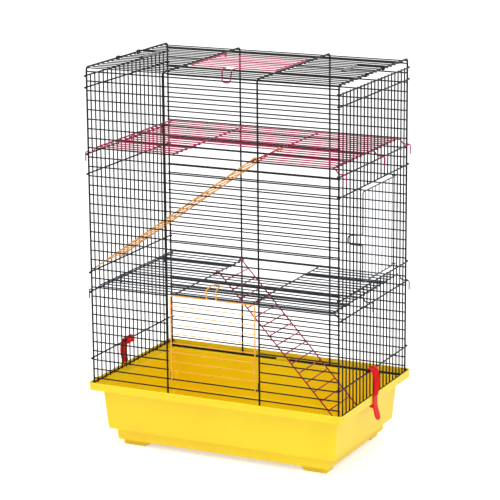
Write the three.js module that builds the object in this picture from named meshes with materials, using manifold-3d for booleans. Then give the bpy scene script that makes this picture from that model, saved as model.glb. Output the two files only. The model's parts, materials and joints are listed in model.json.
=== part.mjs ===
// A two-storey wire ferret cage that stands in a moulded litter tray.
// Millimetres, +Z up. The front faces -Y, and the origin is on the floor under the middle of the tray.

import * as THREE from 'three';
import Module from 'manifold-3d';
import { mergeVertices } from 'three/addons/utils/BufferGeometryUtils.js';

const wasm = await Module();
wasm.setup();

// ---- Driving dimensions ----

const pitch = 20;            // spacing of the front, back, roof and shelf wires
const hoodWidth = 568;       // between the centre lines of the end uprights
const hoodDepth = 358;       // between the centre lines of the front and back uprights
const hoodHeight = 680;      // from the tray's rim line to the centre line of the roof
const hoodFoot = 143;        // height of the rim line, from which the wires are set out, over the floor
const ledgeDrop = 12.5;      // from the rim line down to the tray's ledge, which carries the hood
const innerUpright = 106.5;  // distance of the two inner uprights from the middle
const roofBend = 7;          // radius of the bends between walls and roof

const clearance = 0.3;       // between pieces that only touch
const weldDepth = 0.4;       // how far two crossing wires sink into each other

// Wire sections: distance from the centre line to a corner, and number of corners.
const uprightWire = { radius: 1.8, sides: 4 };
const footWire = { radius: 2.2, sides: 4 };
const gridWire = { radius: 1.6, sides: 3 };
const sideWire = { radius: 1.5, sides: 3 };
const sideRail = { radius: 1.7, sides: 3 };
const frameWire = { radius: 1.45, sides: 4 };
const rungWire = { radius: 1, sides: 3 };
const crossWire = { radius: 1.6, sides: 4 };

const left = hoodWidth / 2;
const front = hoodDepth / 2;
const roofHeight = hoodFoot + hoodHeight;
const uprightPlaces = [-left, -innerUpright, innerUpright, left];
const wireEnd = 1.2;         // how far a cut wire runs past the centre of its last weld

// Distance between the centre lines of two wires that are welded corner to corner.
const welded = (a, b) => a.radius + b.radius - weldDepth;

// Half the width of a three-sided wire, across the direction that its corner points in.
const halfWidth = (section) => section.radius * Math.sin(Math.PI / section.sides);

const gridInset = welded(uprightWire, gridWire);
const footInset = welded(uprightWire, footWire);

// ---- Solids ----

const V = (x, y, z) => new THREE.Vector3(x, y, z);

// Turns a closed three.js geometry into a solid that can be joined and cut.
function solid(geometry) {
  const bare = geometry.clone();
  bare.deleteAttribute('normal');
  bare.deleteAttribute('uv');
  const merged = mergeVertices(bare, 1e-4);
  return new wasm.Manifold(new wasm.Mesh({
    numProp: 3,
    vertProperties: new Float32Array(merged.attributes.position.array),
    triVerts: new Uint32Array(merged.index.array),
  }));
}

const join = (solids) => solids.reduce((sum, next) => sum.add(next));

function mesh(name, body, material) {
  const { vertProperties, triVerts } = body.getMesh();
  const geometry = new THREE.BufferGeometry();
  geometry.setAttribute('position', new THREE.BufferAttribute(vertProperties, 3));
  geometry.setIndex(new THREE.BufferAttribute(triVerts, 1));
  const flat = geometry.toNonIndexed();
  flat.computeVertexNormals();
  const result = new THREE.Mesh(flat, material);
  result.name = name;
  return result;
}

// The centre line of a bent wire: straight runs between corners, each corner rounded to its own radius.
// The section keeps one corner turned towards `facing` along the longest run.
class WirePath extends THREE.Curve {
  constructor(corners, facing) {
    super();
    const points = corners.map(([x, y, z]) => V(x, y, z));
    this.stations = [];
    points.forEach((point, i) => {
      const before = i > 0 ? point.clone().sub(points[i - 1]).normalize() : null;
      const after = i < points.length - 1 ? points[i + 1].clone().sub(point).normalize() : null;
      if (before && after) this.addBend(point, before, after, corners[i][3]);
      else this.stations.push({ point, tangent: before || after });
    });
    this.facing = facing;
  }

  addBend(corner, before, after, radius) {
    const angle = before.angleTo(after);
    const reach = radius * Math.tan(angle / 2);
    const start = corner.clone().addScaledVector(before, -reach);
    const inward = after.clone().addScaledVector(before, -after.dot(before)).normalize();
    const pieces = radius < 3 ? 1 : Math.ceil(angle / (Math.PI / 4) - 1e-6);
    for (let i = 0; i <= pieces; i++) {
      const turn = angle * i / pieces;
      const point = start.clone()
        .addScaledVector(before, radius * Math.sin(turn))
        .addScaledVector(inward, radius * (1 - Math.cos(turn)));
      const tangent = before.clone().multiplyScalar(Math.cos(turn)).addScaledVector(inward, Math.sin(turn));
      this.stations.push({ point, tangent });
    }
  }

  getSpacedPoints() {
    return this.stations.map(({ point }) => point.clone());
  }

  computeFrenetFrames() {
    const tangents = this.stations.map(({ tangent }) => tangent.clone());
    const runs = this.stations.slice(1).map(({ point }, i) => point.distanceTo(this.stations[i].point));
    const longest = runs.indexOf(Math.max(...runs));
    const normals = [];
    const along = tangents[longest];
    normals[longest] = this.facing.clone().addScaledVector(along, -this.facing.dot(along)).normalize();
    const carry = (from, to) => {
      const turn = new THREE.Quaternion().setFromUnitVectors(tangents[from], tangents[to]);
      normals[to] = normals[from].clone().applyQuaternion(turn);
    };
    for (let i = longest; i < tangents.length - 1; i++) carry(i, i + 1);
    for (let i = longest; i > 0; i--) carry(i, i - 1);
    const binormals = tangents.map((tangent, i) => tangent.clone().cross(normals[i]));
    return { tangents, normals, binormals };
  }
}

// A wire through the corners [x, y, z, bend radius], one corner of its section towards `facing`.
function wire(section, facing, corners) {
  const outline = new THREE.Shape();
  for (let i = 0; i < section.sides; i++) {
    const angle = 2 * Math.PI * i / section.sides;
    const point = [section.radius * Math.cos(angle), section.radius * Math.sin(angle)];
    if (i === 0) outline.moveTo(...point);
    else outline.lineTo(...point);
  }
  outline.closePath();
  const path = new WirePath(corners, facing);
  return solid(new THREE.ExtrudeGeometry(outline, { steps: path.stations.length - 1, extrudePath: path }));
}

// A straight-sided solid through rounded rectangles, from the lowest to the highest.
// Each level is [height, half length, half depth, corner radius].
function loft(levels, cornerSteps = 4) {
  const ring = ([z, x, y, radius]) => {
    const points = [];
    for (let corner = 0; corner < 4; corner++) {
      const sx = corner === 0 || corner === 3 ? 1 : -1;
      const sy = corner < 2 ? 1 : -1;
      for (let i = 0; i <= cornerSteps; i++) {
        const angle = (corner + i / cornerSteps) * Math.PI / 2;
        points.push([sx * (x - radius) + radius * Math.cos(angle), sy * (y - radius) + radius * Math.sin(angle), z]);
      }
    }
    return points;
  };
  const rings = levels.map(ring);
  const count = rings[0].length;
  const index = [];
  for (let level = 0; level < rings.length - 1; level++) {
    for (let i = 0; i < count; i++) {
      const a = level * count + i;
      const b = level * count + (i + 1) % count;
      index.push(a, b, b + count, a, b + count, a + count);
    }
  }
  const top = (rings.length - 1) * count;
  for (let i = 1; i < count - 1; i++) index.push(0, i + 1, i, top, top + i, top + i + 1);
  const geometry = new THREE.BufferGeometry();
  geometry.setAttribute('position', new THREE.Float32BufferAttribute(rings.flat(2), 3));
  geometry.setIndex(index);
  return solid(geometry);
}

function block(size, centre) {
  return solid(new THREE.BoxGeometry(...size).translate(...centre));
}

// An outline drawn in X and Z, given its thickness along Y about the middle.
function slab(outline, thickness, curveSegments = 6) {
  const geometry = new THREE.ExtrudeGeometry(outline, { depth: thickness, bevelEnabled: false, curveSegments });
  return solid(geometry.translate(0, 0, -thickness / 2).rotateX(Math.PI / 2));
}

// ---- Materials ----

const paint = (color, roughness = 0.35) => new THREE.MeshStandardMaterial({ color, roughness, metalness: 0.1 });
const blackEnamel = paint(0x1c2221);
const crimsonCoat = paint(0x8f2036);
const redCoat = paint(0xc23348);
const slateCoat = paint(0x4a5863);
const amberCoat = paint(0xf0a93c);
const yellowPlastic = new THREE.MeshStandardMaterial({ color: 0xfccf1e, roughness: 0.38, metalness: 0 });
const redPlastic = new THREE.MeshStandardMaterial({ color: 0xe3202e, roughness: 0.32, metalness: 0 });
const palePlastic = new THREE.MeshStandardMaterial({ color: 0xb8c4d0, roughness: 0.4, metalness: 0 });

// ---- Tray ----

const wall = 2.5;
const rim = { x: 295, y: 188, top: 145.4, radius: 9, draft: 0.6 };
const ledgeHeight = hoodFoot - ledgeDrop;
const basinTop = { x: 274, y: 167, radius: 10 };
const basinFoot = { x: 266, y: 160, z: 38.5, radius: 9 };
const plinth = { x: 250, y: 150, z: 13.5, radius: 8, draft: 1.5 };
const foot = { x: 239, y: 136, length: 52, depth: 34, slope: 12 };
const lug = { centre: -4, width: 34, topWidth: 27, height: 8, thickness: 3 };

// A stepped basin with a raised rim round a flat ledge.
function litterTray() {
  const level = (z, { x, y, radius }, inset = 0) => [z, x - inset, y - inset, Math.max(radius - inset, 2)];
  const underLedge = ledgeHeight - wall;
  const step = basinFoot.z + wall;
  const brim = loft([level(underLedge, rim, rim.draft), level(rim.top, rim)]);
  const basin = loft([level(basinFoot.z, basinFoot), level(underLedge + 1, basinTop)]);
  const base = loft([level(plinth.z, plinth, plinth.draft), level(step, plinth)]);
  const aboveLedge = loft([level(ledgeHeight, rim, wall + rim.draft), level(rim.top + 1, rim, wall)]);
  const well = loft([level(step, basinFoot, wall), level(ledgeHeight + 1, basinTop, wall)]);
  const sump = loft([level(plinth.z + wall, plinth, wall + plinth.draft), level(step + 1, plinth, wall)]);
  return brim.add(basin).add(base).add(trayFeet())
    .subtract(aboveLedge).subtract(well).subtract(sump).add(ledgeLug());
}

// A lug on the back ledge that keeps the hood's foot wire from sliding forwards.
function ledgeLug() {
  const outline = new THREE.Shape([
    new THREE.Vector2(lug.centre - lug.width / 2, ledgeHeight - 1),
    new THREE.Vector2(lug.centre + lug.width / 2, ledgeHeight - 1),
    new THREE.Vector2(lug.centre + lug.topWidth / 2, ledgeHeight + lug.height),
    new THREE.Vector2(lug.centre - lug.topWidth / 2, ledgeHeight + lug.height),
  ]);
  const outside = front - footInset - footWire.radius - clearance;
  return slab(outline, lug.thickness).translate([0, outside - lug.thickness / 2, 0]);
}

// Four corner feet, each with a sloped end towards the middle of the tray.
function trayFeet() {
  const outline = new THREE.Shape([
    new THREE.Vector2(foot.x - foot.length - foot.slope, plinth.z + 1),
    new THREE.Vector2(foot.x - foot.length, 0),
    new THREE.Vector2(foot.x - 1, 0),
    new THREE.Vector2(foot.x, plinth.z + 1),
  ]);
  const right = slab(outline, foot.depth);
  const pair = right.add(right.mirror([1, 0, 0]));
  const offset = foot.y - foot.depth / 2;
  return pair.translate([0, offset, 0]).add(pair.translate([0, -offset, 0]));
}

// ---- Hood: front and back walls ----

const wallLevels = Array.from({ length: 34 }, (_, i) => hoodFoot + 10.5 + pitch * i);
const roofSplit = roofHeight - roofBend - 1.4;
const frontDoorway = { firstCut: 2, lastCut: 10 };

// `side` is -1 for the front and 1 for the back. Cut wires stop at the inner uprights, and the stouter
// foot wire along the bottom rests on the tray's ledge.
function longWall(side, doorway) {
  const outward = V(0, side, 0);
  const y = side * front;
  const inner = side * (front - gridInset);
  const restHeight = ledgeHeight + clearance;
  const uprights = uprightPlaces.map((x) => wire(uprightWire, outward, [
    [x, y, restHeight], [x, y, roofSplit - clearance]]));
  const rows = wallLevels.flatMap((z, i) => {
    const cut = doorway && i >= doorway.firstCut && i <= doorway.lastCut;
    return rowSpans(cut).map(([from, to]) => wire(gridWire, outward, [[from, inner, z], [to, inner, z]]));
  });
  const footLine = [side * (front - footInset), restHeight + footWire.radius];
  const footRow = wire(footWire, outward, [[-left - wireEnd, ...footLine], [left + wireEnd, ...footLine]]);
  return join([...uprights, ...rows, footRow]);
}

// The stretches of a row along X: the whole width, or both sides of a doorway in the middle bay.
function rowSpans(cut) {
  const end = left + wireEnd;
  const jamb = innerUpright - wireEnd;
  return cut ? [[-end, -jamb], [jamb, end]] : [[-end, end]];
}

// Two short stubs on the sill wire keep the front door from sliding sideways.
const doorHalf = 97;
const stubPlace = doorHalf + 4.5;
const stubWire = { radius: 1.3, sides: 3 };

function doorStubs() {
  const sill = wallLevels[frontDoorway.firstCut - 1];
  const y = -front + gridInset + gridWire.radius / 2 + stubWire.radius - weldDepth;
  return [-stubPlace, stubPlace].map((x) => wire(stubWire, V(0, -1, 0), [[x, y, sill - 3.5], [x, y, sill + 16]]));
}

// ---- Hood: roof ----

const roofRows = Array.from({ length: 18 }, (_, j) => -170 + pitch * j);
const roofDoorway = { firstCut: 5, lastCut: 12 };

function roof() {
  const rowHeight = roofHeight - gridInset;
  const bows = uprightPlaces.map((x) => wire(uprightWire, V(1, 0, 0), [
    [x, -front, roofSplit], [x, -front, roofHeight, roofBend],
    [x, front, roofHeight, roofBend], [x, front, roofSplit]]));
  const rows = roofRows.flatMap((y, j) => {
    const cut = j >= roofDoorway.firstCut && j <= roofDoorway.lastCut;
    return rowSpans(cut).map(([from, to]) => wire(gridWire, V(0, 0, 1), [[from, y, rowHeight], [to, y, rowHeight]]));
  });
  return join([...bows, ...rows]);
}

// ---- Hood: side walls ----

const sidePitch = hoodDepth / 20;
const sidePlaces = Array.from({ length: 19 }, (_, k) => -front + sidePitch * (k + 1));
const sideFoot = hoodFoot - 3;
const railLevels = [-1.2, 54.5, 200.5, 243, 455, 497, 637, 661.5].map((z) => hoodFoot + z);
const [, clipRail, lowerShelfRail, doorSill, doorLintel, upperShelfRail] = railLevels;
const sidePlane = left + 1;
const railPlane = sidePlane + welded(sideWire, sideRail);
const railHook = { y: front + 4.6, x: left - 1.5, bend: 2 };
const sideDoorway = { firstCut: 6, lastCut: 14 };

// `side` is -1 for the left wall and 1 for the right. The rails run outside and hook round the posts.
function sideWall(side, doorway) {
  const outward = V(side, 0, 0);
  const inward = V(-side, 0, 0);
  const rails = railLevels.map((z) => wire(sideRail, inward, [
    [side * railHook.x, -railHook.y, z], [side * railPlane, -railHook.y, z, railHook.bend],
    [side * railPlane, railHook.y, z, railHook.bend], [side * railHook.x, railHook.y, z]]));
  const top = railLevels.at(-1) + wireEnd;
  const posts = sidePlaces.flatMap((y, k) => {
    const cut = doorway && k >= doorway.firstCut && k <= doorway.lastCut;
    const spans = cut ? [[sideFoot, doorSill + wireEnd], [doorLintel - wireEnd, top]] : [[sideFoot, top]];
    return spans.map(([from, to]) => wire(sideWire, outward, [
      [side * sidePlane, y, from], [side * sidePlane, y, to]]));
  });
  return join([...rails, ...posts]);
}

// ---- Doors ----

const latch = { half: 11, depth: 27, rise: 5, taper: 2 };

// A door in its own frame: it hinges on the X axis, stands up along +Z and has its outside towards -Y.
// One wire makes the eyes, the sides, the top and the latch loop, which reaches over the latch wire.
function wireDoor({ half, height, latchWire, latchCentre, rungs, rungPitch }) {
  const reach = gridWire.radius + clearance + frameWire.radius;
  const crest = latchWire + halfWidth(gridWire) + clearance + frameWire.radius;
  const eye = (x) => [[x, reach, 2], [x, reach, -reach, reach], [x, -reach, -reach, reach]];
  const loopSide = (x, inwards) => [
    [x, -reach, height, 2], [x, -reach, crest, 2],
    [x + inwards * latch.taper, -reach + latch.depth, crest + latch.rise, 6]];
  const start = latchCentre - latch.half;
  const end = latchCentre + latch.half;
  const frame = wire(frameWire, V(1, -1, 0), [
    ...eye(-half), [-half, -reach, height, 5],
    ...loopSide(start, 1), ...loopSide(end, -1).reverse(),
    [half, -reach, height, 5], ...eye(half).reverse()]);
  const bars = Array.from({ length: rungs }, (_, i) => wire(rungWire, V(0, -1, 0), [
    [-half, -reach, rungPitch * (i + 1)], [half, -reach, rungPitch * (i + 1)]]));
  return join([frame, ...bars]);
}

function frontDoor() {
  const door = wireDoor({
    half: doorHalf, height: 182.5, latchWire: 10 * pitch, latchCentre: -2, rungs: 8, rungPitch: pitch });
  const placed = mesh('front_door', door, amberCoat);
  placed.position.set(0, -front + gridInset, wallLevels[frontDoorway.firstCut - 1]);
  return placed;
}

function roofDoor() {
  const door = wireDoor({
    half: doorHalf, height: 163, latchWire: 9 * pitch, latchCentre: 3, rungs: 7, rungPitch: pitch });
  const placed = mesh('roof_door', door, redCoat);
  placed.position.set(0, roofRows[roofDoorway.lastCut + 1], roofHeight - gridInset);
  placed.rotation.set(-Math.PI / 2, 0, Math.PI, 'ZYX');
  return placed;
}

function sideDoor() {
  const height = doorLintel - doorSill;
  const door = wireDoor({
    half: height / 2 - 11, height: 174.4, latchWire: 10 * sidePitch, latchCentre: -4, rungs: 9,
    rungPitch: sidePitch });
  const placed = mesh('side_door', door, slateCoat);
  const axes = new THREE.Matrix4().makeBasis(V(0, 0, 1), V(-1, 0, 0), V(0, -1, 0));
  placed.quaternion.setFromRotationMatrix(axes);
  placed.position.set(sidePlane, sidePlaces[sideDoorway.lastCut + 1], doorSill + height / 2);
  return placed;
}

// ---- Shelves ----

const shelf = { halfLength: 268.5, bay: 179, firstCut: 1, lastCut: 6 };
const hook = { step: 9, reach: 296, drop: 20, bend: 2 };
const shelfRise = halfWidth(sideRail) + clearance + gridWire.radius / 2 + hook.step;
const crossRise = welded(gridWire, crossWire);
const hookRows = [0, 10, 17];

// A shelf in its own frame: rows along X at height 0, cross wires on top of them and, in the front half
// of the middle bay, a hole. Three rows run on through the side walls as hooks that hang on a rail.
function shelfGrille() {
  const up = V(0, 0, 1);
  const half = shelf.bay / 2;
  const rows = roofRows.flatMap((y, j) => {
    if (hookRows.includes(j)) return [hookedRow(y)];
    const cut = j >= shelf.firstCut && j <= shelf.lastCut;
    const end = shelf.halfLength + wireEnd;
    const edge = half - wireEnd;
    const spans = cut ? [[-end, -edge], [edge, end]] : [[-end, end]];
    return spans.map(([from, to]) => wire(gridWire, up, [[from, y, 0], [to, y, 0]]));
  });
  const crossEnd = -roofRows[0] + wireEnd;
  const crosses = [-shelf.halfLength, -half, half, shelf.halfLength].map((x) => wire(crossWire, up, [
    [x, -crossEnd, crossRise], [x, crossEnd, crossRise]]));
  return join([...rows, ...crosses]);
}

function hookedRow(y) {
  const end = (side) => [
    [side * hook.reach, y, -hook.step - hook.drop], [side * hook.reach, y, -hook.step, hook.bend],
    [side * (left - 4), y, -hook.step, hook.bend], [side * (shelf.halfLength + 4), y, 0, hook.bend]];
  return wire(gridWire, V(0, 0, 1), [...end(-1), ...end(1).reverse()]);
}

// ---- Ladders ----

const ladder = { half: 57, rungs: 17, firstRung: 24, rungPitch: 25.5, tip: 4 };
const ladderReach = crossWire.radius + clearance + frameWire.radius;

// A ladder whose two hooks hang on a wire along the Y axis, its foot down towards -X.
function wireLadder(slope, length) {
  const along = V(-Math.cos(slope), 0, -Math.sin(slope));
  const normal = V(-Math.sin(slope), 0, Math.cos(slope));
  const onRail = (distance, y) => {
    const point = normal.clone().multiplyScalar(ladderReach).addScaledVector(along, distance);
    return [point.x, y, point.z];
  };
  const bendHeight = ladderReach * (1 + Math.sin(slope)) / Math.cos(slope);
  const rails = [-ladder.half, ladder.half].map((y) => wire(frameWire, V(0, 1, 0).add(normal), [
    onRail(length, y), [ladderReach, y, bendHeight, ladderReach], [ladderReach, y, -ladder.tip]]));
  const rungs = Array.from({ length: ladder.rungs }, (_, i) => {
    const distance = ladder.firstRung + ladder.rungPitch * i;
    return wire(rungWire, normal, [onRail(distance, -ladder.half), onRail(distance, ladder.half)]);
  });
  return join([...rails, ...rungs]);
}

const ladderWire = shelf.bay / 2;
const upperLadderPlace = -5.5 * sidePitch;
const lowerLadderPlace = -82;
const upperShelfHeight = upperShelfRail + shelfRise;
const lowerShelfHeight = lowerShelfRail + shelfRise;

// The upper ladder leans on the outer edge of the rail at the door sill's level.
const leanRun = ladderWire + railPlane + sideRail.radius / 2;
const leanDrop = upperShelfHeight + crossRise - doorSill - halfWidth(sideRail);
const upperSlope = Math.atan2(leanDrop, leanRun) + Math.asin(crossWire.radius / Math.hypot(leanRun, leanDrop));
const ladderLength = (leanRun + 1.2) / Math.cos(upperSlope);

// The lower ladder is as long, and its feet stand on the tray's floor.
const footOffset = crossWire.radius + clearance;
const standDrop = lowerShelfHeight + crossRise - plinth.z - wall - clearance;
const lowerSlope = Math.asin(standDrop / Math.hypot(ladderLength, footOffset))
  + Math.atan2(footOffset, ladderLength);

// A shelf with its ladder, ready to be turned half round for the lower storey.
function storey(name, coat, ladderCoat, ladderPlace, slope, height) {
  const group = new THREE.Group();
  const hung = mesh(`${name}_ladder`, wireLadder(slope, ladderLength), ladderCoat);
  hung.position.set(ladderWire, ladderPlace, crossRise);
  group.add(mesh(`${name}_shelf`, shelfGrille(), coat), hung);
  group.position.z = height;
  return group;
}

// ---- Clips ----

const clip = {
  halfTop: 14, shoulder: -24, halfWaist: 9.5, waist: -66, tabRadius: 11, end: -106, thickness: 2.8, slot: 4.4 };
const clipRib = { height: 1.4, width: 3.4, places: [-9.4, 0, 9.4] };

// The strap's centre line from the lip, over the rail at the origin and down outside the rim to the tab.
const clipLine = new THREE.SplineCurve([
  [-5.6, -7], [-6, -1.5], [-4.2, 3.6], [0, 5.6], [5, 4.2], [9.2, -3], [12, -14], [13, -27],
  [11.8, -41], [9.4, -54], [9.1, -68], [10, -80], [13.2, -93], [17.4, clip.end],
].map(([x, z]) => new THREE.Vector2(x, z)));

// The outline of the strap between two stretches of its centre line.
function strap(inside, outside, from, to, steps) {
  const offset = (i, distance) => {
    const t = from + (to - from) * i / steps;
    const tangent = clipLine.getTangent(t);
    return clipLine.getPoint(t).add(new THREE.Vector2(-tangent.y, tangent.x).multiplyScalar(distance));
  };
  const outer = Array.from({ length: steps + 1 }, (_, i) => offset(i, outside));
  const inner = Array.from({ length: steps + 1 }, (_, i) => offset(i, -inside));
  return new THREE.Shape([...inner, ...outer.reverse()]);
}

// A clip in its own frame, for the right wall: the rail is the Y axis, the rim is on the -X side below.
function trayClip() {
  const half = clip.thickness / 2;
  const body = slab(strap(half, half, 0, 1, 18), 2 * clip.halfTop);
  const barb = new THREE.Shape([[9, -71.2], [9, -79], [-1.5, -77.5]].map(([x, z]) => new THREE.Vector2(x, z)));
  const rib = slab(strap(0, half + clipRib.height, 0.2, 0.62, 6), clipRib.width);
  const ribs = clipRib.places.map((y) => rib.translate([0, y, 0]));
  const slot = block([20, clip.slot, 26], [-4, 0, 3]);
  return join([body, slab(barb, 2 * clip.halfWaist), ...ribs]).intersect(clipFace()).subtract(slot);
}

// The strap's outline seen from outside: broad over the rail, narrow at the rim, with a rounded tab.
function clipFace() {
  const { halfTop, shoulder, halfWaist, waist, tabRadius, end } = clip;
  const overTop = 15;
  const ease = 18;
  const tab = end + tabRadius;
  const outline = new THREE.Shape()
    .moveTo(-halfTop, overTop)
    .lineTo(-halfTop, shoulder)
    .bezierCurveTo(-halfTop, shoulder - ease, -halfWaist, waist + ease, -halfWaist, waist)
    .quadraticCurveTo(-halfWaist, tab + ease / 2, -tabRadius, tab)
    .absarc(0, tab, tabRadius, Math.PI, 2 * Math.PI)
    .quadraticCurveTo(halfWaist, tab + ease / 2, halfWaist, waist)
    .bezierCurveTo(halfWaist, waist + ease, halfTop, shoulder - ease, halfTop, shoulder)
    .lineTo(halfTop, overTop);
  return slab(outline, 60, 5).rotate([0, 0, 90]);
}

// ---- Handles ----

const handle = { half: 45, reach: 55, bend: 6, gripHalf: 36, gripRadius: 4.2 };
const handleRise = uprightWire.radius + clearance + frameWire.radius;

// A bail in its own frame, for the right wall: it hinges on the Y axis and lies towards -X.
function handleBail() {
  const r = handleRise;
  const eye = (y) => [[-r, y, 0], [-r, y, -r, r], [r, y, -r, r], [r, y, r, r]];
  return wire(frameWire, V(1, 0, 0), [
    ...eye(-handle.half), [-handle.reach, -handle.half, r, handle.bend],
    [-handle.reach, handle.half, r, handle.bend], ...eye(handle.half).reverse()]);
}

// The plastic sleeve on the bail's long side, open right through.
function handleGrip() {
  const bore = frameWire.radius + clearance;
  const section = [
    [bore, -handle.gripHalf], [handle.gripRadius - 0.8, -handle.gripHalf],
    [handle.gripRadius, 1 - handle.gripHalf], [handle.gripRadius, handle.gripHalf - 1],
    [handle.gripRadius - 0.8, handle.gripHalf], [bore, handle.gripHalf], [bore, -handle.gripHalf],
  ].map(([radius, y]) => new THREE.Vector2(radius, y));
  return solid(new THREE.LatheGeometry(section, 10).translate(-handle.reach, 0, handleRise));
}

// ---- Assembly ----

const cage = new THREE.Group();

cage.add(
  mesh('tray', litterTray(), yellowPlastic),
  mesh('front_grille', join([longWall(-1, frontDoorway), ...doorStubs()]), blackEnamel),
  mesh('back_grille', longWall(1, null), blackEnamel),
  mesh('roof_grille', roof(), blackEnamel),
  mesh('left_side_grille', sideWall(-1, null), blackEnamel),
  mesh('right_side_grille', sideWall(1, sideDoorway), blackEnamel),
  frontDoor(), roofDoor(), sideDoor(),
);

const upper = storey('upper', crimsonCoat, amberCoat, upperLadderPlace, upperSlope, upperShelfHeight);
const lower = storey('lower', slateCoat, crimsonCoat, lowerLadderPlace, lowerSlope, lowerShelfHeight);
lower.rotation.z = Math.PI;
cage.add(upper, lower);

for (const [name, turn] of [['right', 0], ['left', Math.PI]]) {
  const side = Math.cos(turn);
  const fittings = new THREE.Group();
  fittings.rotation.z = turn;
  const clamp = mesh(`${name}_clip`, trayClip(), redPlastic);
  clamp.position.set(railPlane, -side * sidePitch, clipRail);
  const bail = new THREE.Group();
  bail.position.set(left, 0, roofHeight);
  bail.add(mesh(`${name}_handle`, handleBail(), blackEnamel));
  bail.add(mesh(`${name}_handle_grip`, handleGrip(), palePlastic));
  fittings.add(clamp, bail);
  cage.add(fittings);
}

export default cage;
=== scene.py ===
# Ferret cage: enamelled wire hood with shelves, ladders and doors, on a moulded tray.
# Every wire is drawn round and touches what it is welded to, on the places that the imported model gives.
# Wire sizes are matched to the weight of the photograph's lines, so some differ from the solids'.
import json
import math

import bpy
from mathutils import Matrix, Vector


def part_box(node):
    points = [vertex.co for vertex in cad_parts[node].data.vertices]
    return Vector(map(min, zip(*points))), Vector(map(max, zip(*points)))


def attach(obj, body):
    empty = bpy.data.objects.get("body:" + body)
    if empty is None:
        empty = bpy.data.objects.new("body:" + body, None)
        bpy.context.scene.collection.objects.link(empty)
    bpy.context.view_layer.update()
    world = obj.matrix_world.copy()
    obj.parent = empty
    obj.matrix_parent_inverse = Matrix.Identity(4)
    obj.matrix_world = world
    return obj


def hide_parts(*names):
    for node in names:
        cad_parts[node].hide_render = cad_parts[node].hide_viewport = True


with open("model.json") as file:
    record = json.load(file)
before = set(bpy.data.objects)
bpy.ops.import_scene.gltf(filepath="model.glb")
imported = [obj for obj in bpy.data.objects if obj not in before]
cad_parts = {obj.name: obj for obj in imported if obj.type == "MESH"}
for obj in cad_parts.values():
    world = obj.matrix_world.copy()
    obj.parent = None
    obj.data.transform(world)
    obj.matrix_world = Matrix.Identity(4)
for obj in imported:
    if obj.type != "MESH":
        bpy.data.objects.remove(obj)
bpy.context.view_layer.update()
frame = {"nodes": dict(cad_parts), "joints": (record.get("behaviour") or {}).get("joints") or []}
joints = {joint["name"]: joint for joint in frame["joints"]}
mm = 0.001

print("stage: frame loaded,", len(frame["nodes"]), "nodes")


# ---- camera ----

camera = {
    "lens": 162.67,  # mm on a 36 mm sensor, fitted to the photograph's wires
    "distance": 4.790,
    "azimuth": 25.853,  # degrees round from the front, towards the side door
    "elevation": 13.841,
    "roll": -0.48,
    "target": Vector((0.00064, 0.00031, 0.4224)),
}


def placeCamera(c):
    azimuth, elevation = math.radians(c["azimuth"]), math.radians(c["elevation"])
    level = math.cos(elevation)
    back = Vector((math.sin(azimuth) * level, -math.cos(azimuth) * level, math.sin(elevation)))
    right = Vector((math.cos(azimuth), math.sin(azimuth), 0))
    up = back.cross(right)
    roll = math.radians(c["roll"])
    rolledRight = right * math.cos(roll) + up * math.sin(roll)
    rolledUp = up * math.cos(roll) - right * math.sin(roll)
    data = bpy.data.cameras.new("camera")
    data.lens = c["lens"]
    data.sensor_width = 36
    data.clip_end = 50
    obj = bpy.data.objects.new("camera", data)
    turn = Matrix((rolledRight, rolledUp, back)).transposed().to_4x4()
    obj.matrix_world = Matrix.Translation(c["target"] + back * c["distance"]) @ turn
    bpy.context.collection.objects.link(obj)
    bpy.context.scene.camera = obj


placeCamera(camera)
print("stage: camera")


# ---- materials ----


def linear(hexCode):
    channels = [int(hexCode[i : i + 2], 16) / 255 for i in (0, 2, 4)]
    return tuple(c / 12.92 if c <= 0.04045 else ((c + 0.055) / 1.055) ** 2.4 for c in channels) + (1.0,)


def addNode(tree, kind, inputs=None, **settings):
    node = tree.nodes.new(kind)
    for name, value in settings.items():
        setattr(node, name, value)
    for name, value in (inputs or {}).items():
        if isinstance(value, bpy.types.NodeSocket):
            tree.links.new(value, node.inputs[name])
        else:
            node.inputs[name].default_value = value
    return node


def newMaterial(name):
    material = bpy.data.materials.new(name)
    material.use_nodes = True
    tree = material.node_tree
    tree.nodes.clear()
    shader = addNode(tree, "ShaderNodeBsdfPrincipled")
    addNode(tree, "ShaderNodeOutputMaterial", {"Surface": shader.outputs["BSDF"]})
    return material, tree, shader


# Steel wire, dipped in enamel and stoved: a thick glossy coat that runs thin on the welds,
# so the gloss is broken by a slow ripple along the wire and by specks of dust in the coat.
def enamelledWire(name, coat, thin, roughness=0.3, gloss=0.5):
    material, tree, shader = newMaterial(name)
    place = addNode(tree, "ShaderNodeTexCoord").outputs["Object"]
    runs = addNode(tree, "ShaderNodeTexNoise", {"Vector": place, "Scale": 1 / (26 * mm), "Detail": 3.0})
    ripple = addNode(tree, "ShaderNodeTexNoise", {"Vector": place, "Scale": 1 / (1.6 * mm), "Detail": 2.0})
    shade = addNode(tree, "ShaderNodeValToRGB", {"Fac": runs.outputs["Fac"]})
    shade.color_ramp.elements[0].position = 0.36
    shade.color_ramp.elements[0].color = linear(coat)
    shade.color_ramp.elements[1].position = 0.78
    shade.color_ramp.elements[1].color = linear(thin)
    wear = addNode(tree, "ShaderNodeMapRange", {
        "Value": runs.outputs["Fac"], "To Min": roughness - 0.06, "To Max": roughness + 0.1})
    bump = addNode(tree, "ShaderNodeBump", {
        "Height": ripple.outputs["Fac"], "Strength": 0.25, "Distance": 0.08 * mm})
    tree.links.new(shade.outputs["Color"], shader.inputs["Base Color"])
    tree.links.new(wear.outputs["Result"], shader.inputs["Roughness"])
    tree.links.new(bump.outputs["Normal"], shader.inputs["Normal"])
    shader.inputs["IOR"].default_value = 1.5
    shader.inputs["Specular IOR Level"].default_value = gloss
    return material


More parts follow.
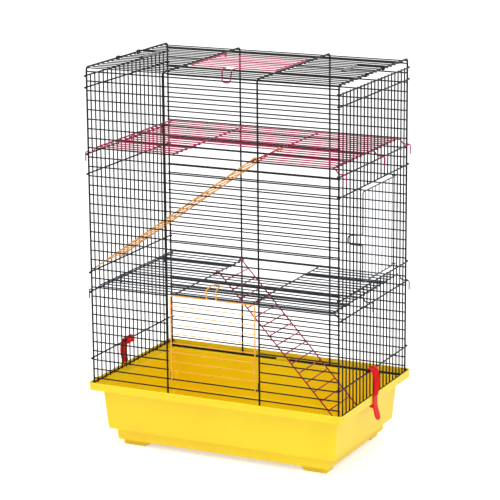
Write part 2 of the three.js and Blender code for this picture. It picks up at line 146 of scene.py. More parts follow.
# Injection-moulded polypropylene: waxy and slightly translucent, with a fine sparked grain from the
# tool, so highlights are broad and soft, and the shade drifts a little where the melt cooled slower.
def mouldedPolypropylene(name, body, deep, roughness=0.36, grain=0.9 * mm, glow=0.1, gloss=0.5):
    material, tree, shader = newMaterial(name)
    place = addNode(tree, "ShaderNodeTexCoord").outputs["Object"]
    flow = addNode(tree, "ShaderNodeTexNoise", {"Vector": place, "Scale": 1 / (140 * mm), "Detail": 2.0})
    spark = addNode(tree, "ShaderNodeTexNoise", {"Vector": place, "Scale": 1 / grain, "Detail": 3.0})
    shade = addNode(tree, "ShaderNodeValToRGB", {"Fac": flow.outputs["Fac"]})
    shade.color_ramp.elements[0].position = 0.3
    shade.color_ramp.elements[0].color = linear(deep)
    shade.color_ramp.elements[1].position = 0.7
    shade.color_ramp.elements[1].color = linear(body)
    sheen = addNode(tree, "ShaderNodeMapRange", {
        "Value": spark.outputs["Fac"], "To Min": roughness - 0.05, "To Max": roughness + 0.08})
    bump = addNode(tree, "ShaderNodeBump", {
        "Height": spark.outputs["Fac"], "Strength": 0.12, "Distance": 0.06 * mm})
    tree.links.new(shade.outputs["Color"], shader.inputs["Base Color"])
    tree.links.new(sheen.outputs["Result"], shader.inputs["Roughness"])
    tree.links.new(bump.outputs["Normal"], shader.inputs["Normal"])
    shader.inputs["IOR"].default_value = 1.49
    shader.inputs["Specular IOR Level"].default_value = gloss
    shader.inputs["Subsurface Weight"].default_value = glow
    shader.inputs["Subsurface Radius"].default_value = (9 * mm, 6 * mm, 1 * mm)
    shader.inputs["Subsurface Scale"].default_value = 1.0
    return material


blackEnamel = enamelledWire("blackEnamelledWire", "050606", "0B0D0D", 0.4, gloss=0.2)
crimsonEnamel = enamelledWire("crimsonEnamelledWire", "A80E48", "B41E58", gloss=0.25)
redEnamel = enamelledWire("redEnamelledWire", "B01A4C", "BC3062", gloss=0.25)
slateEnamel = enamelledWire("slateEnamelledWire", "2B3848", "3A4757", gloss=0.25)
amberEnamel = enamelledWire("amberEnamelledWire", "EFA02A", "F2B050", gloss=0.4)
trayPlastic = mouldedPolypropylene("yellowPolypropylene", "FFD806", "FED103", roughness=0.42, glow=0.8)
clipPlastic = mouldedPolypropylene("redPolypropylene", "E4040F", "D4030B", roughness=0.5, gloss=0.25)
gripPlastic = mouldedPolypropylene("greyBluePolypropylene", "7A828C", "70787F", roughness=0.36)
print("stage: materials")


# ---- round wires ----


# The centre line through corners (x, y, z) or (x, y, z, bend radius), as points with their directions.
def bentLine(corners):
    points = [Vector(corner[:3]) for corner in corners]
    line = [points[0]]
    for i in range(1, len(points) - 1):
        bend = corners[i][3] if len(corners[i]) > 3 else 0
        before = (points[i] - points[i - 1]).normalized()
        after = (points[i + 1] - points[i]).normalized()
        angle = before.angle(after)
        if bend == 0 or angle < 0.01:
            line.append(points[i])
            continue
        inward = (after - before * after.dot(before)).normalized()
        start = points[i] - before * bend * math.tan(angle / 2)
        steps = max(2, round(math.degrees(angle) / 15))
        for step in range(steps + 1):
            turn = angle * step / steps
            line.append(start + before * bend * math.sin(turn) + inward * bend * (1 - math.cos(turn)))
    line.append(points[-1])
    return line


# A tube round a line, its sheared ends softened as a dipped coat leaves them.
def addTube(verts, faces, line, radius, sides=10):
    tangents = []
    for i in range(len(line)):
        ahead = line[min(i + 1, len(line) - 1)] - line[max(i - 1, 0)]
        tangents.append(ahead.normalized())
    normal = tangents[0].orthogonal().normalized()
    rings = [(line[0], tangents[0], 0.62), (line[0] + tangents[0] * radius * 0.4, tangents[0], 1)]
    rings += [(line[i], tangents[i], 1) for i in range(1, len(line) - 1)]
    rings += [(line[-1] - tangents[-1] * radius * 0.4, tangents[-1], 1), (line[-1], tangents[-1], 0.62)]
    base = len(verts)
    for place, tangent, share in rings:
        normal = (normal - tangent * normal.dot(tangent)).normalized()
        across = tangent.cross(normal)
        for side in range(sides):
            angle = 2 * math.pi * side / sides
            verts.append(place + (normal * math.cos(angle) + across * math.sin(angle)) * radius * share)
    for ring in range(len(rings) - 1):
        for side in range(sides):
            a = base + ring * sides + side
            b = base + ring * sides + (side + 1) % sides
            faces.append((a, b, b + sides, a + sides))
    faces.append(tuple(base + side for side in reversed(range(sides))))
    last = base + (len(rings) - 1) * sides
    faces.append(tuple(last + side for side in range(sides)))


def meshObject(name, verts, faces, material):
    mesh = bpy.data.meshes.new(name)
    mesh.from_pydata(verts, [], faces)
    mesh.polygons.foreach_set("use_smooth", [len(face) == 4 for face in faces])
    mesh.materials.append(material)
    obj = bpy.data.objects.new(name, mesh)
    bpy.context.collection.objects.link(obj)
    return obj


# One piece from many wires, each (corners, radius), moved by a matrix where it has its own frame.
def wirePiece(name, wires, material, place=None):
    verts, faces = [], []
    for corners, radius in wires:
        addTube(verts, faces, bentLine(corners), radius)
    if place is not None:
        verts = [place @ vert for vert in verts]
    return meshObject(name, verts, faces, material)


def dress(piece, body, slot, *nodes):
    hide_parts(*nodes)
    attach(piece, body)


# ---- hood ----

hood = {
    "post": 2.0 * mm,  # radius of the thick uprights and bows
    "foot": 2.4 * mm,  # radius of the foot wires on the tray's ledge
    "row": 1.45 * mm,  # radius of the thin rows on the front and back
    "roofRow": 1.2 * mm,
    "bar": 1.5 * mm,  # radius of the end walls' upright bars
    "rail": 1.65 * mm,  # radius of the end walls' rails
    "sink": 0.25 * mm,  # how far two welded wires sink into each other
    "rowLap": 1.6 * mm,  # how far a row runs past the wire that it ends on
    "barLap": 1.8 * mm,
    "barTop": 2 * mm,  # from the top rail up to the bars' ends
    "footLap": 1.2 * mm,
    "pitch": 20 * mm,
    "halfWidth": 284 * mm,
    "innerPost": 106.5 * mm,
    "roofBend": 7 * mm,
    "firstRow": 10.5 * mm,
    "rows": 34,
    "roofRows": 18,
    "sideDrop": 3 * mm,  # from the rim line down to the end walls' lower ends
    "railLevels": (-1.2, 54.5, 200.5, 243, 455, 497, 637, 661.5),
    "bars": 19,
}
frontAxis = joints["front_door_hinge"]["pos_m"]
roofAxis = joints["roof_door_hinge"]["pos_m"]
sideAxis = joints["side_door_hinge"]["pos_m"]
rimLine = frontAxis[2] - hood["firstRow"] - hood["pitch"]  # the wires are set out from here
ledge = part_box("front_grille")[0].z - 0.3 * mm
rowPlane = -frontAxis[1]
postPlane = rowPlane + hood["post"] + hood["row"] - hood["sink"]
roofRowHeight = roofAxis[2]
bowHeight = roofRowHeight + hood["post"] + hood["roofRow"] - hood["sink"]
barPlane = sideAxis[0]
railPlane = barPlane + hood["bar"] + hood["rail"] - hood["sink"]
barPitch = 358 * mm / 20
postPlaces = [-hood["halfWidth"], -hood["innerPost"], hood["innerPost"], hood["halfWidth"]]
railHeights = [rimLine + level * mm for level in hood["railLevels"]]
doorSill, doorLintel = railHeights[3], railHeights[4]
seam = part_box("roof_grille")[0].z


def rowSpans(cut):
    end = hood["halfWidth"] + hood["rowLap"]
    jamb = hood["innerPost"] - hood["rowLap"]
    return [(-end, -jamb), (jamb, end)] if cut else [(-end, end)]


def longWall(side, doorwayRows):
    wires = [([(x, side * postPlane, ledge), (x, side * postPlane, seam)], hood["post"]) for x in postPlaces]
    for i in range(hood["rows"]):
        z = rimLine + hood["firstRow"] + i * hood["pitch"]
        for start, end in rowSpans(i in doorwayRows):
            wires.append(([(start, side * rowPlane, z), (end, side * rowPlane, z)], hood["row"]))
    footY, footZ = side * (postPlane - hood["post"] - hood["foot"] + hood["sink"]), ledge + hood["foot"]
    footEnd = hood["halfWidth"] + hood["footLap"]
    wires.append(([(-footEnd, footY, footZ), (footEnd, footY, footZ)], hood["foot"]))
    return wires


stub = {"wire": 1.2 * mm, "x": 101.5 * mm, "behind": 1.05 * mm, "low": -3 * mm, "high": 16 * mm}


# Short stubs behind the sill wire keep the door from sliding sideways.
def doorStubs():
    y = -rowPlane + hood["row"] + stub["behind"]
    low, high = frontAxis[2] + stub["low"], frontAxis[2] + stub["high"]
    return [([(x, y, low), (x, y, high)], stub["wire"]) for x in (-stub["x"], stub["x"])]


def roof():
    bend = hood["roofBend"]
    wires = [([
        (x, -postPlane, seam), (x, -postPlane, bowHeight, bend),
        (x, postPlane, bowHeight, bend), (x, postPlane, seam)], hood["post"]) for x in postPlaces]
    for j in range(hood["roofRows"]):
        y = (j - 8.5) * hood["pitch"]
        for start, end in rowSpans(5 <= j <= 12):
            wires.append(([(start, y, roofRowHeight), (end, y, roofRowHeight)], hood["roofRow"]))
    return wires


railHook = {"past": 4.4 * mm, "back": 2.2 * mm, "bend": 2.4 * mm}


# The rails run outside the bars, and their ends hook round the corner posts.
def endWall(side, doorwayBars):
    hookY, tipX, bend = postPlane + railHook["past"], hood["halfWidth"] - railHook["back"], railHook["bend"]
    rail = side * railPlane
    wires = [([
        (side * tipX, -hookY, z), (rail, -hookY, z, bend), (rail, hookY, z, bend), (side * tipX, hookY, z)],
        hood["rail"]) for z in railHeights]
    top, low = railHeights[-1] + hood["barTop"], rimLine - hood["sideDrop"]
    for k in range(hood["bars"]):
        y = barPitch * (k - 9)
        cut = k in doorwayBars
        doorwaySpans = [(low, doorSill + hood["barLap"]), (doorLintel - hood["barLap"], top)]
        spans = doorwaySpans if cut else [(low, top)]
        for start, end in spans:
            wires.append(([(side * barPlane, y, start), (side * barPlane, y, end)], hood["bar"]))
    return wires


hoodPieces = {
    "frontWall": ("front_grille", longWall(-1, range(2, 11)) + doorStubs()),
    "backWall": ("back_grille", longWall(1, ())),
    "roofWall": ("roof_grille", roof()),
    "leftWall": ("left_side_grille", endWall(-1, ())),
    "rightWall": ("right_side_grille", endWall(1, range(6, 15))),
}
for pieceName, (node, wires) in hoodPieces.items():
    dress(wirePiece(pieceName, wires, blackEnamel), "cage", "black_enamel", node)
print("stage: hood")


# ---- doors ----

door = {"frame": 1.4 * mm, "play": 0.4 * mm, "corner": 5 * mm, "eyeTip": 2.2 * mm}
latch = {
    "half": 11 * mm,
    "depth": 27 * mm,
    "rise": 5 * mm,
    "taper": 2 * mm,
    "bend": 7 * mm,
    "footBend": 2.5 * mm,
    "crestBend": 3 * mm,
}


# A door in its own frame: it hinges on X, stands up along +Z and has its outside towards -Y.
# One wire makes the eyes, the sides, the top and the latch loop.
def wireDoor(half, height, latchWire, latchCentre, rungs, pitch, hingeWire, rungRadius):
    reach = hingeWire + door["play"] + door["frame"]
    crest = latchWire + reach

    def eye(x):
        return [(x, reach, door["eyeTip"]), (x, reach, -reach, reach), (x, -reach, -reach, reach)]

    def loopSide(x, inward):
        return [
            (x, -reach, height, latch["footBend"]), (x, -reach, crest, latch["crestBend"]),
            (x + inward * latch["taper"], latch["depth"] - reach, crest + latch["rise"], latch["bend"])]

    low, high = latchCentre - latch["half"], latchCentre + latch["half"]
    corners = eye(-half) + [(-half, -reach, height, door["corner"])]
    corners += loopSide(low, 1) + loopSide(high, -1)[::-1]
    corners += [(half, -reach, height, door["corner"])] + eye(half)[::-1]
    wires = [(corners, door["frame"])]
    for i in range(rungs):
        z = pitch * (i + 1)
        wires.append(([(-half, -reach, z), (half, -reach, z)], rungRadius))
    return wires


frontDoor = wireDoor(
    half=97 * mm, height=182.5 * mm, latchWire=10 * hood["pitch"], latchCentre=-2 * mm,
    rungs=8, pitch=hood["pitch"], hingeWire=hood["row"], rungRadius=0.9 * mm)
roofDoor = wireDoor(
    half=97 * mm, height=163 * mm, latchWire=9 * hood["pitch"], latchCentre=3 * mm,
    rungs=7, pitch=hood["pitch"], hingeWire=hood["roofRow"], rungRadius=1.1 * mm)
sideDoor = wireDoor(
    half=(doorLintel - doorSill) / 2 - 11 * mm, height=174.4 * mm, latchWire=10 * barPitch,
    latchCentre=-4 * mm, rungs=9, pitch=barPitch, hingeWire=hood["bar"], rungRadius=0.95 * mm)
frontPlace = Matrix.Translation(frontAxis)
roofPlace = Matrix.Translation(roofAxis) @ Matrix(((-1, 0, 0, 0), (0, 0, -1, 0), (0, -1, 0, 0), (0, 0, 0, 1)))
sidePlace = Matrix.Translation(sideAxis) @ Matrix(((0, -1, 0, 0), (0, 0, -1, 0), (1, 0, 0, 0), (0, 0, 0, 1)))
dress(wirePiece("frontDoor", frontDoor, amberEnamel, frontPlace), "front_door", "amber_enamel", "front_door")
dress(wirePiece("roofDoor", roofDoor, redEnamel, roofPlace), "roof_door", "red_enamel", "roof_door")
dress(wirePiece("sideDoor", sideDoor, slateEnamel, sidePlace), "side_door", "slate_enamel", "side_door")
print("stage: doors")


# ---- shelves and ladders ----

shelf = {
    "cross": 1.6 * mm,
    "row": 1.35 * mm,
    "rows": 18,
    "halfLength": 268.5 * mm,
    "halfDepth": 171.5 * mm,
    "halfBay": 89.5 * mm,
    "hookReach": 296 * mm,
    "hookDrop": 20 * mm,
    "hookStep": 9 * mm,
    "stepStart": 272.5 * mm,
    "stepEnd": 280 * mm,
    "stepBend": 4 * mm,
    "tipBend": 3 * mm,
    "hookRows": (0, 10, 17),
}
ladder = {
    "rail": 1.5 * mm,
    "rung": 1.4 * mm,
    "half": 57 * mm,
    "play": 0.4 * mm,
    "rungs": 17,
    "first": 24 * mm,
    "pitch": 25.5 * mm,
    "hookLow": -3 * mm,
    "hookBend": 2 * mm,
    "hookTip": -4.6 * mm,
}


# A shelf in its own frame: the cross wires lie at height 0, the rows below them, and the front half of
# the middle bay is open for the ladder. Three rows run out through the end walls as hooks.
def shelfWires():
    drop = shelf["cross"] + shelf["row"] - hood["sink"]
    wires = []
    for j in range(shelf["rows"]):
        y = (j - 8.5) * hood["pitch"]
        if j in shelf["hookRows"]:
            low, bend = -drop - shelf["hookStep"], shelf["stepBend"]
            tip = [
                (shelf["hookReach"], y, low - shelf["hookDrop"]),
                (shelf["hookReach"], y, low, shelf["tipBend"]),
                (shelf["stepEnd"], y, low, bend),
                (shelf["stepStart"], y, -drop, bend),
            ]
            mirrored = [(-x, *rest) for x, *rest in tip]
            wires.append((mirrored + tip[::-1], shelf["row"]))
            continue
        end, edge = shelf["halfLength"] + hood["rowLap"], shelf["halfBay"] - hood["rowLap"]
        spans = [(-end, -edge), (edge, end)] if 1 <= j <= 6 else [(-end, end)]
        wires += [([(start, y, -drop), (stop, y, -drop)], shelf["row"]) for start, stop in spans]
    for x in (-shelf["halfLength"], -shelf["halfBay"], shelf["halfBay"], shelf["halfLength"]):
        wires.append(([(x, -shelf["halfDepth"], 0), (x, shelf["halfDepth"], 0)], shelf["cross"]))
    return wires


# A ladder whose hooks hang on a wire along Y, its foot down towards -X.
def ladderWires(slope, length):
    reach = shelf["cross"] + ladder["play"] + ladder["rail"]
    along = Vector((-math.cos(slope), 0, -math.sin(slope)))
    normal = Vector((-math.sin(slope), 0, math.cos(slope)))

    def onRail(distance, y):
        point = normal * reach + along * distance
        return (point.x, y, point.z)

    bendHeight = reach * (1 + math.sin(slope)) / math.cos(slope)
    wires = []
    for y in (-ladder["half"], ladder["half"]):
        hook = [(reach, y, bendHeight, reach), (reach, y, ladder["hookLow"], ladder["hookBend"])]
        hook += [(reach - ladder["hookBend"], y, ladder["hookTip"])]
        wires.append(([onRail(length, y)] + hook, ladder["rail"]))
    for i in range(ladder["rungs"]):
        distance = ladder["first"] + ladder["pitch"] * i
        wires.append(([onRail(distance, -ladder["half"]), onRail(distance, ladder["half"])], ladder["rung"]))
    return wires


# These lay each drawn ladder within about 1.5 mm of its solid.
ladderMatch = {"reach": 3.35 * mm, "lift": 1.2 * mm, "share": 0.55, "short": 1.5 * mm}


# The slope and length of a ladder, from the box of its solid and the wire that it hangs on.
def ladderFit(node, axis):
    low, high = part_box(node)
    run = axis[0] - low.x if axis[0] > 0 else high.x - axis[0]
    drop = axis[2] - low.z
    span = math.hypot(run, drop)
    slope = math.atan2(drop + ladderMatch["lift"], run)
    slope += math.asin(ladderMatch["reach"] / span) * ladderMatch["share"]
    return slope, span - ladderMatch["short"]


halfTurn = Matrix.Rotation(math.pi, 4, "Z")
for storey, slot, coat, ladderSlot, ladderCoat in (
    ("upper", "crimson_enamel", crimsonEnamel, "amber_enamel", amberEnamel),
    ("lower", "slate_enamel", slateEnamel, "crimson_enamel", crimsonEnamel),
):
    axis = Vector(joints[storey + "_ladder_hook"]["pos_m"])
    turn = Matrix.Identity(4) if storey == "upper" else halfTurn
    shelfPlace = Matrix.Translation((0, 0, axis.z)) @ turn
    ladderPlace = Matrix.Translation(axis) @ turn
    rowsAndCrosses = wirePiece(storey + "Shelf", shelfWires(), coat, shelfPlace)
    dress(rowsAndCrosses, storey + "_shelf", slot, storey + "_shelf")
    slope, length = ladderFit(storey + "_ladder", axis)
    rungsAndRails = wirePiece(storey + "Ladder", ladderWires(slope, length), ladderCoat, ladderPlace)
    dress(rungsAndRails, storey + "_ladder", ladderSlot, storey + "_ladder")
print("stage: shelves and ladders")


# ---- tray ----

tray = {
    "wall": 2.5 * mm,
    "rimX": 295 * mm,
    "rimY": 188 * mm,
    "rimTop": 145.4 * mm,
    "ledge": ledge,
    "basinX": 274 * mm,
    "basinY": 167 * mm,
    "bellyX": 266 * mm,
    "bellyY": 160 * mm,
    "bellyZ": 38.5 * mm,
    "plinthX": 250 * mm,
    "plinthY": 150 * mm,
    "plinthZ": 13.5 * mm,
    "rimDraft": 0.6 * mm,
    "plinthDraft": 1.5 * mm,
    "edge": 1.1 * mm,
}
lug = {"left": -21 * mm, "right": 13 * mm, "slope": 3.5 * mm, "height": 8.6 * mm, "inside": 169.9 * mm,
       "thickness": 3 * mm, "sunk": 0.6 * mm}
foot = {"x": 239 * mm, "y": 136 * mm, "length": 52 * mm, "depth": 34 * mm, "slope": 12 * mm}


# A ring of points round a rounded rectangle.
def roundedRing(x, y, z, radius, steps=8):
    points = []
    for corner in range(4):
        sx = 1 if corner in (0, 3) else -1
        sy = 1 if corner < 2 else -1
        for i in range(steps + 1):
            angle = (corner + i / steps) * math.pi / 2
            across, along = radius * math.cos(angle), radius * math.sin(angle)
            points.append(Vector((sx * (x - radius) + across, sy * (y - radius) + along, z)))
    return points


def skin(rings):
    verts = [point for ring in rings for point in ring]
    count = len(rings[0])
    faces = []
    for level in range(len(rings) - 1):
        for i in range(count):
            a, b = level * count + i, level * count + (i + 1) % count
            faces.append((a, b, b + count, a + count))
    faces.append(tuple(reversed(range(count))))
    faces.append(tuple(range(len(verts) - count, len(verts))))
    return verts, faces


# Outside up from the plinth, round the rim, and down the inside to the floor, in one skin.
def trayShell():
    t = tray
    w, rimDraft, plinthDraft = t["wall"], t["rimDraft"], t["plinthDraft"]
    profile = [  # x, y, z, corner radius
        (t["plinthX"] - plinthDraft, t["plinthY"] - plinthDraft, t["plinthZ"], 7 * mm),
        (t["plinthX"], t["plinthY"], t["bellyZ"], 8 * mm),
        (t["bellyX"], t["bellyY"], t["bellyZ"], 9 * mm),
        (t["basinX"], t["basinY"], t["ledge"] - w, 10 * mm),
        (t["rimX"] - rimDraft, t["rimY"] - rimDraft, t["ledge"] - w, 9 * mm),
        (t["rimX"], t["rimY"], t["rimTop"], 9 * mm),
        (t["rimX"] - w, t["rimY"] - w, t["rimTop"], 7 * mm),
        (t["rimX"] - w - rimDraft, t["rimY"] - w - rimDraft, t["ledge"], 6.5 * mm),
        (t["basinX"] - w, t["basinY"] - w, t["ledge"], 8 * mm),
        (t["bellyX"] - w, t["bellyY"] - w, t["bellyZ"] + w, 7 * mm),
        (t["plinthX"] - w, t["plinthY"] - w, t["bellyZ"] + w, 6 * mm),
        (t["plinthX"] - w - plinthDraft, t["plinthY"] - w - plinthDraft, t["plinthZ"] + w, 5 * mm),
    ]
    return skin([roundedRing(x, y, z, radius) for x, y, z, radius in profile])


def trayFoot(sx, sy):
    z = tray["plinthZ"] + 0.5 * mm
    outline = [
        (foot["x"] - foot["length"] - foot["slope"], z), (foot["x"] - foot["length"], 0),
        (foot["x"] - 1.2 * mm, 0), (foot["x"], z)]
    rows = [foot["y"] - foot["depth"], foot["y"]]
    verts = [Vector((sx * x, sy * y, z)) for y in rows for x, z in outline]
    faces = [(0, 1, 2, 3), (7, 6, 5, 4), (0, 4, 5, 1), (1, 5, 6, 2), (2, 6, 7, 3), (3, 7, 4, 0)]
    return verts, [face if sx * sy < 0 else face[::-1] for face in faces]


# The lug on the back ledge, in front of the foot wire.
def ledgeLug():
    low, inside = tray["ledge"] - lug["sunk"], lug["inside"]
    high = low + lug["height"]
    outline = [
        (lug["left"], low), (lug["right"], low),
        (lug["right"] - lug["slope"], high), (lug["left"] + lug["slope"], high)]
    verts = [Vector((x, y, z)) for y in (inside, inside + lug["thickness"]) for x, z in outline]
    return verts, [(0, 1, 2, 3), (7, 6, 5, 4), (0, 4, 5, 1), (1, 5, 6, 2), (2, 6, 7, 3), (3, 7, 4, 0)]


def buildTray():
    verts, faces = trayShell()
    lugVerts, lugFaces = ledgeLug()
    faces += [tuple(i + len(verts) for i in face) for face in lugFaces]
    verts += lugVerts
    for sx in (-1, 1):
        for sy in (-1, 1):
            footVerts, footFaces = trayFoot(sx, sy)
            faces += [tuple(i + len(verts) for i in face) for face in footFaces]
            verts += footVerts
    obj = meshObject("trayMoulding", verts, faces, trayPlastic)
    bevel = obj.modifiers.new("mouldedEdges", "BEVEL")
    bevel.width = tray["edge"]
    bevel.segments = 3
    bevel.limit_method = "ANGLE"
    bevel.angle_limit = math.radians(38)
    obj.data.polygons.foreach_set("use_smooth", [True] * len(obj.data.polygons))
    obj.modifiers.new("flatSides", "WEIGHTED_NORMAL").keep_sharp = True
    return obj


dress(buildTray(), "cage", "tray_plastic", "tray")
print("stage: tray")


# ---- clips ----

clip = {
    "thickness": 2.8 * mm,
    "slot": 4.4 * mm,
    "tip": 11 * mm,
    "slotEnd": 17,  # steps along the line, to where the slot of the solid ends
    "ribEnd": 37,
    "rib": 1.3 * mm,
    "ribProud": 0.3 * mm,
    "ribShares": (-0.7, -0.25, 0.25, 0.7),  # of the half width, so the ribs draw together at the waist
    "barbHalf": 9.5 * mm,
    "barb": ((9.3, -70.6), (9.3, -80), (-0.5, -77.8), (-1.5, -76.8)),
    "line": (  # x and z of the strap's middle, from the lip inside, over the rail and down to the tab
        (-5.6, -7), (-6, -1.5), (-4.2, 3.6), (0, 5.6), (5, 4.2), (9.2, -3), (12, -14), (13, -27),
        (11.8, -41), (9.4, -54), (9.1, -68), (10, -80), (13.2, -93), (17.4, -106)),
    "halfWidths": ((15, 14), (-24, 14), (-45, 11.8), (-66, 9.5), (-80, 10), (-95, 11)),  # by height
}


def splineThrough(points, perSpan):
    line = []
    for i in range(len(points) - 1):
        a, b, c, d = (points[max(0, min(len(points) - 1, i + k))] for k in (-1, 0, 1, 2))
        for step in range(perSpan):
            t = step / perSpan
            line.append(0.5 * (
                2 * b + (c - a) * t + (2 * a - 5 * b + 4 * c - d) * t * t + (3 * b - a - 3 * c + d) * t**3))
    line.append(points[-1])
    return line


# Half the strap's width at a height, eased from one given height to the next.
def halfWidthAt(z):
    stations = clip["halfWidths"]
    for (high, start), (low, end) in zip(stations, stations[1:]):
        if z >= low:
            t = min(max((high - z) / (high - low), 0), 1)
            return start + (end - start) * t * t * (3 - 2 * t)
    return stations[-1][1]


def clipLine(side):
    return splineThrough([Vector((side * x * mm, 0, z * mm)) for x, z in clip["line"]], 4)


# The strap is a grid along its line: two fingers beside the slot at the lip, one band further on,
# narrowing to the round tab.
def clipStrap(side, place):
    line = clipLine(side)
    s = clip["slot"] / 2
    verts, faces = [], []
    for point in line:
        rest = max(point.z - line[-1].z, 0)
        narrow = clip["tip"] - math.sqrt(max(clip["tip"] ** 2 - max(clip["tip"] - rest, 0) ** 2, 0))
        half = halfWidthAt(point.z / mm) * mm - narrow * 0.95
        for y in (-half, -half / 2, -s, s, half / 2, half):
            verts.append(place + point + Vector((0, y, 0)))
    for i in range(len(line) - 1):
        for j in range(5):
            if j == 2 and i < clip["slotEnd"]:
                continue
            a = i * 6 + j
            faces.append((a, a + 1, a + 7, a + 6))
    return verts, faces


def buildClip(name, side):
    axis = Vector(joints[name + "_clip_swing"]["pos_m"])
    verts, faces = clipStrap(side, axis)
    if side > 0:
        faces = [face[::-1] for face in faces]
    obj = meshObject(name + "Clip", verts, faces, clipPlastic)
    thick = obj.modifiers.new("thickness", "SOLIDIFY")
    thick.thickness = clip["thickness"]
    thick.offset = 0
    soft = obj.modifiers.new("softEdges", "BEVEL")
    soft.width = 0.7 * mm
    soft.segments = 3
    soft.limit_method = "ANGLE"
    soft.angle_limit = math.radians(50)
    dress(obj, name + "_clip", "clip_plastic", name + "_clip")
    ribs = []
    ribLine = clipLine(side)[clip["slotEnd"] : clip["ribEnd"]]
    proud = side * (clip["thickness"] / 2 + clip["ribProud"])
    for share in clip["ribShares"]:
        out = [axis + point + Vector((proud, share * halfWidthAt(point.z / mm) * mm, 0)) for point in ribLine]
        ribs.append((out, clip["rib"]))
    rib = wirePiece(name + "ClipRibs", ribs, clipPlastic)
    barbVerts = []
    for y in (-clip["barbHalf"], clip["barbHalf"]):
        for x, z in clip["barb"]:
            barbVerts.append(axis + Vector((side * x * mm, y, z * mm)))
    barbFaces = [(0, 1, 2, 3), (7, 6, 5, 4), (0, 4, 5, 1), (1, 5, 6, 2), (2, 6, 7, 3), (3, 7, 4, 0)]
    barb = meshObject(name + "ClipBarb", barbVerts, barbFaces, clipPlastic)
    edge = barb.modifiers.new("softEdges", "BEVEL")
    edge.width = 0.5 * mm
    edge.segments = 2
    for piece in (rib, barb):
        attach(piece, name + "_clip")


for clipName, clipSide in (("right", 1), ("left", -1)):
    buildClip(clipName, clipSide)
print("stage: clips")


# ---- handles ----

handle = {
    "wire": 1.3 * mm,
    "half": 45 * mm,
    "reach": 55 * mm,
    "bend": 6 * mm,
    "gripHalf": 36 * mm,
    "gripRadius": 3.1 * mm,
    "eye": 3.5 * mm,
    "eyeTip": 0.5 * mm,
    "gripBore": 0.2 * mm,  # over the wire's radius
    "gripWaist": 0.25 * mm,
}


def buildHandle(name, side):
    axis = Vector(joints[name + "_handle_fold"]["pos_m"])
    r = handle["eye"]

    def eye(y):
        return [(-r, y, handle["eyeTip"]), (-r, y, -r, r), (r, y, -r, r), (r, y, r, r)]

    reach, half, bend = handle["reach"], handle["half"], handle["bend"]
    corners = eye(-half) + [(-reach, -half, r, bend), (-reach, half, r, bend)] + eye(half)[::-1]
    place = Matrix.Translation(axis) @ (Matrix.Identity(4) if side > 0 else halfTurn)
    bail = wirePiece(name + "Handle", [(corners, handle["wire"])], blackEnamel, place)
    dress(bail, name + "_handle", "black_enamel", name + "_handle")
    bore, outer, half = handle["wire"] + handle["gripBore"], handle["gripRadius"], handle["gripHalf"]
    waist = outer - handle["gripWaist"]
    profile = [(bore, -half), (outer - 1.2 * mm, -half)]  # radius and place along the grip
    profile += [(outer - 0.4 * mm, 0.4 * mm - half), (outer, 1.3 * mm - half)]
    profile += [(waist, -half / 3), (waist, half / 3)]
    profile += [(radius, -y) for radius, y in profile[3::-1]]
    sides = 28
    verts, faces = [], []
    for radius, y in profile:
        for i in range(sides):
            angle = 2 * math.pi * i / sides
            local = Vector((radius * math.cos(angle) - handle["reach"], y, radius * math.sin(angle) + r))
            verts.append(place @ local)
    count = len(profile)
    for ring in range(count):
        for i in range(sides):
            a, b = ring * sides + i, ring * sides + (i + 1) % sides
            c, d = (ring + 1) % count * sides + (i + 1) % sides, (ring + 1) % count * sides + i
            faces.append((a, b, c, d))
    grip = meshObject(name + "Grip", verts, faces, gripPlastic)
    dress(grip, name + "_handle", "grip_plastic", name + "_handle_grip")


for handleName, handleSide in (("right", 1), ("left", -1)):
    buildHandle(handleName, handleSide)
print("stage: handles")


# ---- studio ----


# True for what the camera sees directly, in a reflection or through something.
def seenRays(tree):
    rays = addNode(tree, "ShaderNodeLightPath")
    seen = rays.outputs["Is Camera Ray"]
    for kind in ("Is Glossy Ray", "Is Transmission Ray"):
        either = addNode(tree, "ShaderNodeMath", {0: seen, 1: rays.outputs[kind]}, operation="MAXIMUM")
        seen = either.outputs["Value"]
    return seen


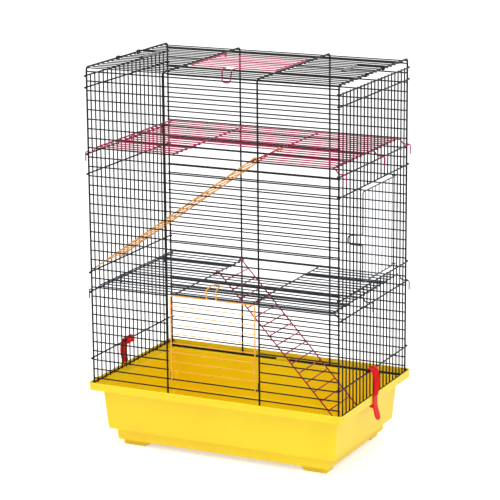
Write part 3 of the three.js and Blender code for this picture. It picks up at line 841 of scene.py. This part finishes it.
def studioFloor():
    size = 30
    verts = [(-size, -size, 0), (size, -size, 0), (size, size, 0), (-size, size, 0)]
    material, tree, shader = newMaterial("paleFloor")
    shader.inputs["Base Color"].default_value = linear("F2F2F2")
    shader.inputs["Roughness"].default_value = 0.6
    glow = addNode(tree, "ShaderNodeEmission", {"Color": (1, 1, 1, 1), "Strength": 0.5})
    dark = addNode(tree, "ShaderNodeEmission", {"Color": (0, 0, 0, 1), "Strength": 0.0})
    seen = addNode(tree, "ShaderNodeMixShader", {"Fac": seenRays(tree)})
    tree.links.new(dark.outputs["Emission"], seen.inputs[1])
    tree.links.new(glow.outputs["Emission"], seen.inputs[2])
    total = addNode(tree, "ShaderNodeAddShader")
    tree.links.new(shader.outputs["BSDF"], total.inputs[0])
    tree.links.new(seen.outputs["Shader"], total.inputs[1])
    output = next(node for node in tree.nodes if node.type == "OUTPUT_MATERIAL")
    tree.links.new(total.outputs["Shader"], output.inputs["Surface"])
    floor = meshObject("studioFloor", verts, [(0, 1, 2, 3)], material)


def studioWorld():
    world = bpy.data.worlds.new("studio")
    bpy.context.scene.world = world
    world.use_nodes = True
    tree = world.node_tree
    tree.nodes.clear()
    strength = addNode(tree, "ShaderNodeMapRange", {"Value": seenRays(tree), "To Min": 0.8, "To Max": 1.0})
    sky = addNode(tree, "ShaderNodeBackground", {
        "Color": (1, 1, 1, 1), "Strength": strength.outputs["Result"]})
    addNode(tree, "ShaderNodeOutputWorld", {"Surface": sky.outputs["Background"]})


def softLamp(name, place, size, power):
    data = bpy.data.lights.new(name, "AREA")
    data.shape = "RECTANGLE"
    data.size, data.size_y = size
    data.energy = power
    obj = bpy.data.objects.new(name, data)
    obj.location = place
    obj.rotation_euler = (Vector((0, 0, 0.4)) - Vector(place)).to_track_quat("-Z", "Y").to_euler()
    bpy.context.collection.objects.link(obj)


studioFloor()
studioWorld()
softLamp("keyLamp", (2.2, -2.0, 2.6), (1.8, 1.8), 34)
softLamp("fillLamp", (-2.4, -2.0, 1.8), (1.8, 1.8), 10)
softLamp("topLamp", (-0.1, -0.6, 3.0), (1.6, 1.6), 30)
bpy.context.scene.view_settings.view_transform = "Standard"
print("stage: studio")
